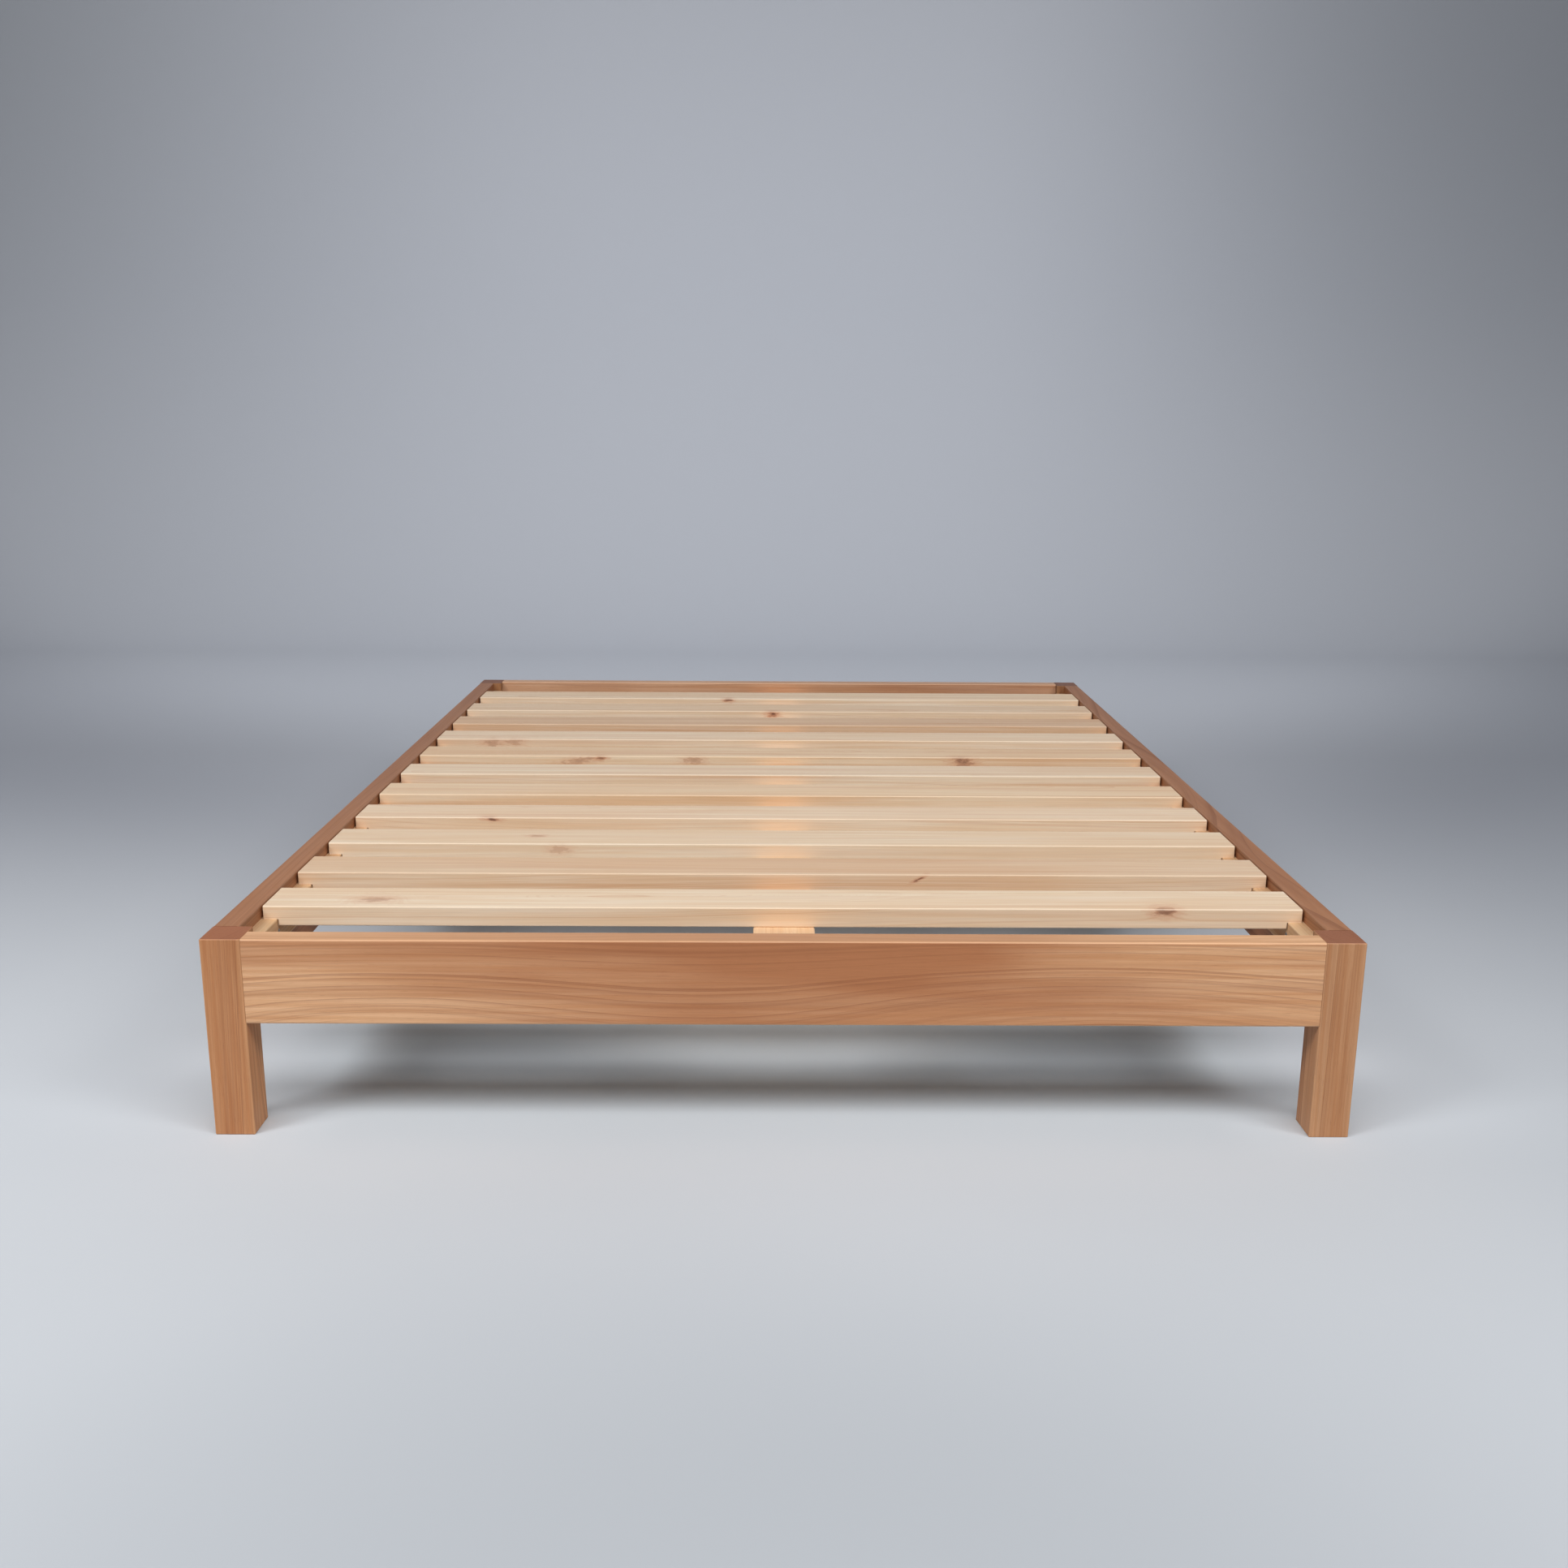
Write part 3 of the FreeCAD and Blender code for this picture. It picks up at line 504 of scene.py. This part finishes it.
def dress_pine_frame():
    for count, side in enumerate(SIDES):
        name = f"ledger_{side}"
        cut = Cut("Y", (0.05, 0.06), ring=0.0045, lean=(0.01, 0.01), seed=61.0 + 6 * count)
        dress(name, wood(f"pine_{name}", name, PINE, cut, tint=LEDGER_TINT))
    for count, end in enumerate(ENDS):
        name = f"beam_saddle_{end}"
        cut = Cut("X", (0.05, -0.06), ring=0.0045, seed=73.0 + 6 * count)
        dress(name, wood(f"pine_{name}", name, PINE, cut, tint=LEDGER_TINT))
    beam_cut = Cut("Y", (0.02, -0.09), ring=0.0055, seed=71.0)
    dress("centre_beam", wood("pine_centre_beam", "centre_beam", PINE, beam_cut, tint=BEAM_TINT))
    leg_cut = Cut("Z", (0.07, 0.03), ring=0.0045, seed=83.0)
    dress("centre_leg", wood("pine_centre_leg", "centre_leg", PINE, leg_cut, tint=LEDGER_TINT))


# Screws with star drives and threads, in the places of the plain ones
SCREW_GROUPS = ("ledger_screws", "saddle_screws", "plate_screws")
SCREW_SIDES = 24
HEAD_BEVEL = 0.0002  # height of the bevel round the head's face
DRIVE_LOBES = 6
DRIVE_RADIUS = 0.0018
DRIVE_WAVE = 0.0004
DRIVE_DEPTH = 0.0016
THREAD_PITCH = 0.0018
THREAD_HEIGHT = 0.0005
THREAD_FLANK = 0.3 * THREAD_PITCH  # half the ridge's width at its root
THREAD_ROOT = 1.3 * THREAD_HEIGHT  # the ridge starts a little inside the core
THREAD_STEPS = 12  # in a turn
SHANK_RADIUS = 0.0020
SMOOTH_SHARE = 0.3  # part of the shank that has no thread
POINT_LENGTH = 0.005
SCREW_MERGE = 1e-6  # corners closer than this are one
ORIGIN = Vector((0.0, 0.0, 0.0))
X_AXIS = Vector((1.0, 0.0, 0.0))


@dataclass
class Seat:
    """Where one screw sits: the middle of its head's face, the way it points and its sizes."""
    head: Vector
    way: Vector
    length: float
    head_radius: float


def screw_seats(name):
    """Reads the seat of each screw from the plain solids of a group."""
    solids = bmesh.new()
    solids.from_mesh(nodes[name].data)
    bmesh.ops.remove_doubles(solids, verts=solids.verts[:], dist=SCREW_MERGE)
    waiting = set(solids.verts)
    seats = []
    while waiting:
        found = {waiting.pop()}
        edge_of_search = list(found)
        while edge_of_search:
            near = {edge.other_vert(vert) for vert in edge_of_search for edge in vert.link_edges}
            near &= waiting
            waiting -= near
            found |= near
            edge_of_search = list(near)
        seats.append(read_seat([vert.co.copy() for vert in found]))
    solids.free()
    return sorted(seats, key=lambda seat: tuple(seat.head))


def read_seat(points):
    """The seat of one screw, from the corners of its plain solid. The head is its wider end."""
    low = Vector([min(point[axis] for point in points) for axis in range(3)])
    high = Vector([max(point[axis] for point in points) for axis in range(3)])
    middle = (low + high) / 2
    axis = max(range(3), key=lambda one: high[one] - low[one])
    widest = max(points, key=lambda point: (point - middle).length)
    head = middle.copy()
    head[axis] = widest[axis]
    way = ORIGIN.copy()
    way[axis] = 1.0 if widest[axis] < middle[axis] else -1.0
    across = (axis + 1) % 3
    return Seat(head, way, high[axis] - low[axis], (high[across] - low[across]) / 2)


def only(kind, items):
    """The items of one kind, such as vertices or edges."""
    return [item for item in items if isinstance(item, kind)]


def open_edges(mesh):
    return [edge for edge in mesh.edges if edge.is_boundary]


def turn_profile(mesh, profile):
    """Turns a profile of distances along X and radii round X."""
    verts = [mesh.verts.new((along, 0.0, radius)) for along, radius in profile]
    edges = [mesh.edges.new(pair) for pair in zip(verts, verts[1:])]
    bmesh.ops.spin(
        mesh, geom=verts + edges, cent=ORIGIN, axis=X_AXIS, angle=math.tau,
        steps=SCREW_SIDES, use_merge=True)
    bmesh.ops.remove_doubles(mesh, verts=mesh.verts[:], dist=SCREW_MERGE)


def cut_star(mesh):
    """Closes the head's face with a lobed socket."""
    mouth = bmesh.ops.extrude_edge_only(mesh, edges=open_edges(mesh))["geom"]
    for vert in only(bmesh.types.BMVert, mouth):
        angle = math.atan2(vert.co.y, vert.co.z)
        radius = DRIVE_RADIUS + DRIVE_WAVE * math.cos(DRIVE_LOBES * angle)
        vert.co = (0.0, radius * math.sin(angle), radius * math.cos(angle))
    wall = bmesh.ops.extrude_edge_only(mesh, edges=open_edges(mesh))["geom"]
    bmesh.ops.translate(mesh, verts=only(bmesh.types.BMVert, wall), vec=(DRIVE_DEPTH, 0.0, 0.0))
    bmesh.ops.contextual_create(mesh, geom=open_edges(mesh))


def wind_thread(mesh, start, end):
    """A ridge wound round the shank from start to end."""
    root = SHANK_RADIUS - THREAD_ROOT
    tooth = [(start - THREAD_FLANK, root), (start, SHANK_RADIUS), (start + THREAD_FLANK, root)]
    verts = [mesh.verts.new((along, 0.0, radius)) for along, radius in tooth]
    edges = [mesh.edges.new(pair) for pair in zip(verts, verts[1:] + verts[:1])]
    turns = (end - start) / THREAD_PITCH
    wound = bmesh.ops.spin(
        mesh, geom=verts + edges, cent=ORIGIN, axis=X_AXIS, dvec=(THREAD_PITCH / THREAD_STEPS, 0.0, 0.0),
        angle=math.tau * turns, steps=round(turns * THREAD_STEPS))
    bmesh.ops.contextual_create(mesh, geom=edges)
    bmesh.ops.contextual_create(mesh, geom=only(bmesh.types.BMEdge, wound["geom_last"]))


def make_screw(seat):
    """One countersunk screw on its seat."""
    mesh = bmesh.new()
    cone = seat.head_radius - SHANK_RADIUS
    core = SHANK_RADIUS - THREAD_HEIGHT
    smooth_end = cone + (seat.length - cone) * SMOOTH_SHARE
    point_start = seat.length - POINT_LENGTH
    turn_profile(mesh, [
        (0.0, seat.head_radius - HEAD_BEVEL / 2), (HEAD_BEVEL, seat.head_radius), (cone, SHANK_RADIUS),
        (smooth_end, SHANK_RADIUS), (smooth_end + THREAD_HEIGHT, core), (point_start, core),
        (seat.length, 0.0)])
    cut_star(mesh)
    wind_thread(mesh, smooth_end + THREAD_PITCH, point_start)
    bmesh.ops.recalc_face_normals(mesh, faces=mesh.faces[:])
    turn = X_AXIS.rotation_difference(seat.way).to_matrix().to_4x4()
    bmesh.ops.transform(mesh, matrix=Matrix.Translation(seat.head) @ turn, verts=mesh.verts[:])
    return mesh


def finish_piece(name, meshes, material):
    """One object at the origin from finished meshes."""
    data = bpy.data.meshes.new(name)
    whole = bmesh.new()
    for mesh in meshes:
        mesh.to_mesh(data)
        mesh.free()
        whole.from_mesh(data)
    whole.to_mesh(data)
    whole.free()
    data.materials.append(material)
    piece = bpy.data.objects.new(name, data)
    bpy.context.scene.collection.objects.link(piece)
    return piece


def dress_steel():
    zinc = steel("zinc_plated_steel")
    for name in nodes:
        if "plate" in name or "stud" in name or name in SCREW_GROUPS:
            dress(name, zinc)
    for group in SCREW_GROUPS:
        seats = screw_seats(group)
        piece = finish_piece(f"star_drive_{group}", [make_screw(seat) for seat in seats], zinc)
        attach(piece, "frame")
        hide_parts(group)


# Studio: paper floor and wall, lamps and camera
FLOOR_FRONT = -9.0
SWEEP_START = 3.4
SWEEP_RADIUS = 1.6
SWEEP_STEPS = 24
WALL_TOP = 7.0
STAGE_HALF_WIDTH = 11.0
STAGE_MERGE = 1e-5  # corners closer than this are one


@dataclass
class Patch:
    """A stretch of paper in a tone of its own, with soft edges; most patches are painted light or painted
    shade.

    Each edge names a way over the paper, where the tone starts and where it is full, and the shares at
    those two places if they aren't 0 and 1.
    """
    colour: tuple
    edges: tuple
    blend: str = "MIX"


MOTTLE_SCALE = 0.7
MOTTLE_LEVELS = (0.3, 0.7)
FLOOR_TONES = (tone(197, 202, 208), tone(201, 206, 212))
COOL_SHADE = (0.93, 0.98, 1.0, 1.0)  # takes the wood's warm glow out of the paper under the bed
BED_LENGTH = (("depth", -1.15, -0.82), ("depth", 1.15, 0.85))
PAINTED_FLOOR_LIGHT_AND_SHADE = (
    # painted light left of the bed
    Patch(tone(208, 213, 219), (("side", -0.2, -1.4), ("depth", -2.0, -1.1))),
    # painted shade in a dim spot in front
    Patch(tone(183, 188, 194), (("from_spot", 0.75, 0.15),)),
    # painted light in strips beside the bed, lightening the bed's side shadows
    Patch(tone(215, 221, 228), (("aside", 0.60, 0.70), ("aside", 1.3, 0.85), *BED_LENGTH)),
    # painted shadow behind the foot rail, apart from its middle
    Patch(tone(153, 156, 161), (
        ("aside", -0.1, 0.4), ("aside", 0.70, 0.56), ("depth", -0.90, -0.82), ("depth", -0.58, -0.76))),
    # painted light behind the middle of the foot rail
    Patch(tone(224, 229, 235), (("aside", 0.45, 0.05), ("depth", -0.84, -0.72), ("depth", -0.40, -0.58))),
    # painted cool tint under the bed, against the wood's warm bounce light
    Patch(COOL_SHADE, (("aside", 0.85, 0.65), *BED_LENGTH), "MULTIPLY"),
    # painted shade towards the back
    Patch(tone(165, 169, 178), (("depth", -1.05, 1.2),)),
    # painted shade towards the right
    Patch(tone(140, 144, 152), (("side", 0.85, 1.95, 0.0, 0.42),)),
)
WALL_TONE = tone(192, 196, 204)
UP_THE_WALL = ("height", 0.2, 3.0, 0.25, 1.0)
PAINTED_WALL_SHADE = (
    # painted shade towards both upper corners, and more so on the right
    Patch(tone(165, 169, 176), (("aside", 0.8, 4.4), UP_THE_WALL)),
    Patch(tone(140, 144, 152), (("side", 0.8, 3.4, 0.0, 0.42), UP_THE_WALL)),
)
PLAIN_PAPER = Patch(tone(196, 200, 207), (("out_of_view", 0.1, 1.6),))
BLACK = tone(0, 0, 0)
SPOT_DEPTH = -2.0
SPOT_SQUEEZE = 0.66  # makes the painted dim spot wider than deep
WALL_DEPTH = 1.0  # wall tones set in around this depth, and further back at the sides
WALL_START = (-1.1, 0.9)  # from there, where they start and where they are full
VIEW_EDGE = (0.52, 1.56)  # the picture's half width on the floor: growth with depth, and at depth 0
AIR_IN_FRONT = (-2.1, -3.9)  # depths where the paper starts to turn into air and where it has turned
AIR_AT_SIDES = (0.8, 3.4)  # the same, out of view


@dataclass
class Panel:
    """A soft light panel."""
    name: str
    place: tuple
    aim: tuple
    size: tuple  # width and height
    power: float
    colour: tuple = (1.0, 0.99, 0.98)


PANELS = (
    Panel("front_panel", (-0.3, -4.4, 5.2), (-0.3, -0.2, 0.2), (9.0, 2.4), 319.0),
    Panel("left_panel", (-4.4, -3.6, 4.5), (0.0, -0.2, 0.2), (1.8, 1.8), 133.0),
    Panel("right_panel", (4.4, -3.6, 4.5), (0.0, -0.2, 0.2), (1.8, 1.8), 111.0),
    Panel("wall_panel", (-0.2, 2.0, 1.9), (-0.2, 5.0, 1.0), (5.6, 0.8), 29.0, (0.97, 0.98, 1.0)),
)
AIR_COLOUR = (0.875, 0.915, 1.0, 1.0)
AIR_FILL = 0.113  # light that the air adds to every surface
AIR_SEEN = 0.443  # the air as the camera and reflections see it


def rays_in_view(tree):
    """1 for rays that see the air: from the camera, off gloss or through glass."""
    rays = tree.nodes.new("ShaderNodeLightPath").outputs
    seen = rays["Is Camera Ray"]
    for kind in ("Is Glossy Ray", "Is Transmission Ray"):
        either = tree.nodes.new("ShaderNodeMath")
        either.operation = "MAXIMUM"
        tree.links.new(seen, either.inputs[0])
        tree.links.new(rays[kind], either.inputs[1])
        seen = either.outputs[0]
    return seen


def ways_over_paper(f, place):
    """The distances that patches name."""
    side, depth, height = f.split(place)
    aside = f.math("ABSOLUTE", side)
    return {
        "side": side,
        "depth": depth,
        "height": height,
        "aside": aside,
        "from_spot": f.length(f.math("MULTIPLY", side, SPOT_SQUEEZE), f.math("SUBTRACT", depth, SPOT_DEPTH)),
        "to_wall": f.math("SUBTRACT", depth, f.math("MAXIMUM", aside, WALL_DEPTH)),
        "out_of_view": f.math("SUBTRACT", aside, f.math("MULTIPLY_ADD", depth, *VIEW_EDGE)),
    }


def lay_patches(f, paper, ways, patches):
    """Lays patches over the paper, one after another."""
    for patch in patches:
        share = 1.0
        for way, *fading in patch.edges:
            share = f.math("MULTIPLY", f.fade(ways[way], *fading), share)
        paper = f.mix(share, paper, patch.colour, patch.blend)
    return paper


def studio_paper():
    """Grey paper with painted patches of light and shade, plain out of view, and lost in the air far away.
    """
    f = Finish("studio_paper")
    place = f.node("TexCoord").outputs["Object"]
    ways = ways_over_paper(f, place)
    floor = f.mix(f.fade(f.noise(place, MOTTLE_SCALE), *MOTTLE_LEVELS), *FLOOR_TONES)
    floor = lay_patches(f, floor, ways, PAINTED_FLOOR_LIGHT_AND_SHADE)
    wall = lay_patches(f, WALL_TONE, ways, PAINTED_WALL_SHADE)
    paper = f.mix(f.fade(ways["to_wall"], *WALL_START), floor, wall)
    paper = lay_patches(f, paper, ways, [PLAIN_PAPER])
    away = f.math(
        "MAXIMUM", f.fade(ways["depth"], *AIR_IN_FRONT), f.fade(ways["out_of_view"], *AIR_AT_SIDES))
    f.put(f.shader.inputs["Base Color"], f.mix(away, paper, BLACK))
    f.put(f.shader.inputs["Emission Color"], AIR_COLOUR)
    in_view = f.math("MULTIPLY", rays_in_view(f.tree), AIR_SEEN)
    f.put(f.shader.inputs["Emission Strength"], f.math("MULTIPLY", away, in_view))
    f.put(f.shader.inputs["Roughness"], 0.8)
    f.put(f.shader.inputs["Specular IOR Level"], 0.0)
    return f.material


def make_stage():
    """A floor that sweeps up into a wall."""
    mesh = bmesh.new()
    front = mesh.verts.new((-STAGE_HALF_WIDTH, FLOOR_FRONT, 0.0))
    corner = mesh.verts.new((-STAGE_HALF_WIDTH, SWEEP_START, 0.0))
    mesh.edges.new((front, corner))
    swept = bmesh.ops.spin(
        mesh, geom=[corner], cent=(-STAGE_HALF_WIDTH, SWEEP_START, SWEEP_RADIUS), axis=X_AXIS,
        angle=math.pi / 2, steps=SWEEP_STEPS)
    last = only(bmesh.types.BMVert, swept["geom_last"])
    top = bmesh.ops.extrude_vert_indiv(mesh, verts=last)["verts"][0]
    top.co.z = WALL_TOP
    sheet = bmesh.ops.extrude_edge_only(mesh, edges=mesh.edges[:])["geom"]
    far_side = only(bmesh.types.BMVert, sheet)
    bmesh.ops.translate(mesh, verts=far_side, vec=(2 * STAGE_HALF_WIDTH, 0.0, 0.0))
    bmesh.ops.remove_doubles(mesh, verts=mesh.verts[:], dist=STAGE_MERGE)
    bmesh.ops.recalc_face_normals(mesh, faces=mesh.faces[:])
    for face in mesh.faces:
        face.smooth = True
    finish_piece("studio_stage", [mesh], studio_paper())


def make_panel(panel):
    lamp = bpy.data.lights.new(panel.name, "AREA")
    lamp.shape = "RECTANGLE"
    lamp.size, lamp.size_y = panel.size
    lamp.energy = panel.power
    lamp.color = panel.colour
    hung = bpy.data.objects.new(panel.name, lamp)
    facing = (Vector(panel.aim) - Vector(panel.place)).to_track_quat("-Z", "Y").to_matrix().to_4x4()
    hung.matrix_world = Matrix.Translation(panel.place) @ facing
    hung.visible_camera = False
    bpy.context.scene.collection.objects.link(hung)


def light_studio():
    world = bpy.data.worlds.new("studio_air")
    world.use_nodes = True
    tree = world.node_tree
    air = tree.nodes["Background"]
    air.inputs["Color"].default_value = AIR_COLOUR
    level = tree.nodes.new("ShaderNodeMapRange")
    level.inputs["To Min"].default_value = AIR_FILL
    level.inputs["To Max"].default_value = AIR_SEEN
    tree.links.new(rays_in_view(tree), level.inputs["Value"])
    tree.links.new(level.outputs["Result"], air.inputs["Strength"])
    bpy.context.scene.world = world
    for panel in PANELS:
        make_panel(panel)


CAMERA_PLACE = (-0.0181, -3.0182, 0.9887)
CAMERA_YAW = math.radians(-0.457)
CAMERA_DOWN = math.radians(13.62)
CAMERA_ROLL = math.radians(0.359)
CAMERA_LENS = 34.87
SENSOR = 36.0


def make_camera():
    camera = bpy.data.objects.new("camera", bpy.data.cameras.new("camera"))
    camera.data.lens = CAMERA_LENS
    camera.data.sensor_width = SENSOR
    camera.matrix_world = (
        Matrix.Translation(CAMERA_PLACE) @ Matrix.Rotation(CAMERA_YAW, 4, "Z")
        @ Matrix.Rotation(math.pi / 2 - CAMERA_DOWN, 4, "X") @ Matrix.Rotation(CAMERA_ROLL, 4, "Z"))
    bpy.context.scene.collection.objects.link(camera)
    bpy.context.scene.camera = camera


dress_hardwood()
dress_slats()
dress_pine_frame()
dress_steel()
make_stage()
light_studio()
make_camera()
bpy.context.scene.view_settings.view_transform = "Standard"
